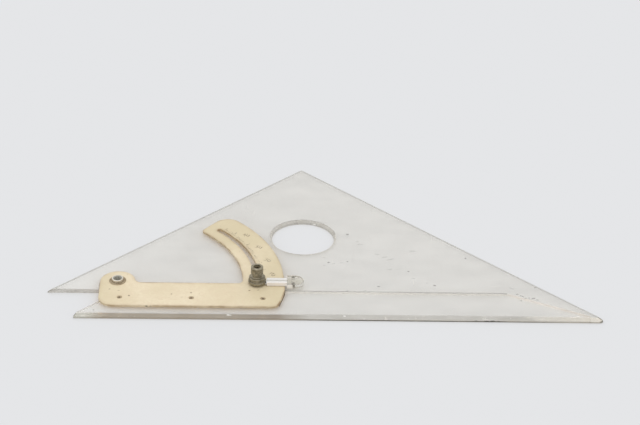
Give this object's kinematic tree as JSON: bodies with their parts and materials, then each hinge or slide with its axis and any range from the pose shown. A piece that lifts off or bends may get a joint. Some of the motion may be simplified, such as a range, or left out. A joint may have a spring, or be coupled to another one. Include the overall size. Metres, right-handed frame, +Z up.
{
  "type": "adjustable set square",
  "caption": "Clear 45 degree set square that pivots on a base strip, with a cream angle plate, arc slot, index arm and knurled clamp nut.",
  "frame": {"origin": "centre of the bounding box, on the surface that the tool lies on", "axes": "+X along the base edge, from the pivot towards the long tip; +Y from the base edge to the apex; +Z up, out of the sheet"},
  "size_m": [0.3148, 0.1716, 0.0158],
  "materials": {
    "clear_acrylic": "clear polished acrylic, slightly yellowed with age",
    "cream_plastic": "satin cream plastic with printed black graduations",
    "dark_brass": "tarnished olive brown brass",
    "brown_brass": "dark brown oxidised brass",
    "nickel": "polished nickel plate, lightly worn"
  },
  "bodies": {
    "base": {"base_strip": "clear_acrylic", "scale_plate": "cream_plastic", "plate_rivet_1": "brown_brass", "plate_rivet_2": "brown_brass", "plate_rivet_3": "brown_brass", "rivet_burr_1": "brown_brass", "rivet_burr_2": "brown_brass", "rivet_burr_3": "brown_brass", "pivot_eyelet": "nickel", "pivot_top_washer": "brown_brass", "pivot_back_washer": "brown_brass"},
    "swing": {"triangle": "clear_acrylic", "clamp_stud": "dark_brass", "clamp_friction_washer": "dark_brass", "clamp_collar": "dark_brass", "index_arm": "nickel", "arm_block": "clear_acrylic", "block_pin_1": "nickel", "block_pin_2": "nickel"},
    "lift": {"clamp_thrust_washer": "dark_brass"},
    "nut": {"clamp_nut": "dark_brass"}
  },
  "joints": [
    {"name": "swing_hinge", "type": "hinge", "parent": "base", "child": "swing", "pos_m": [-0.11785, -0.05358, 0.0015], "axis": [0, 0, 1], "range_deg": [0, 45]},
    {"name": "nut_lift", "type": "slide", "parent": "swing", "child": "lift", "axis": [0, 0, 1], "range_m": [0, 0.00075]},
    {"name": "nut_turn", "type": "hinge", "parent": "lift", "child": "nut", "pos_m": [-0.03785, -0.05484, 0.008], "axis": [0, 0, 1], "range_deg": [0, 540]}
  ],
  "couplings": [
    {"joint": "nut_turn", "follows": "nut_lift", "rad_per_m": 12566}
  ]
}
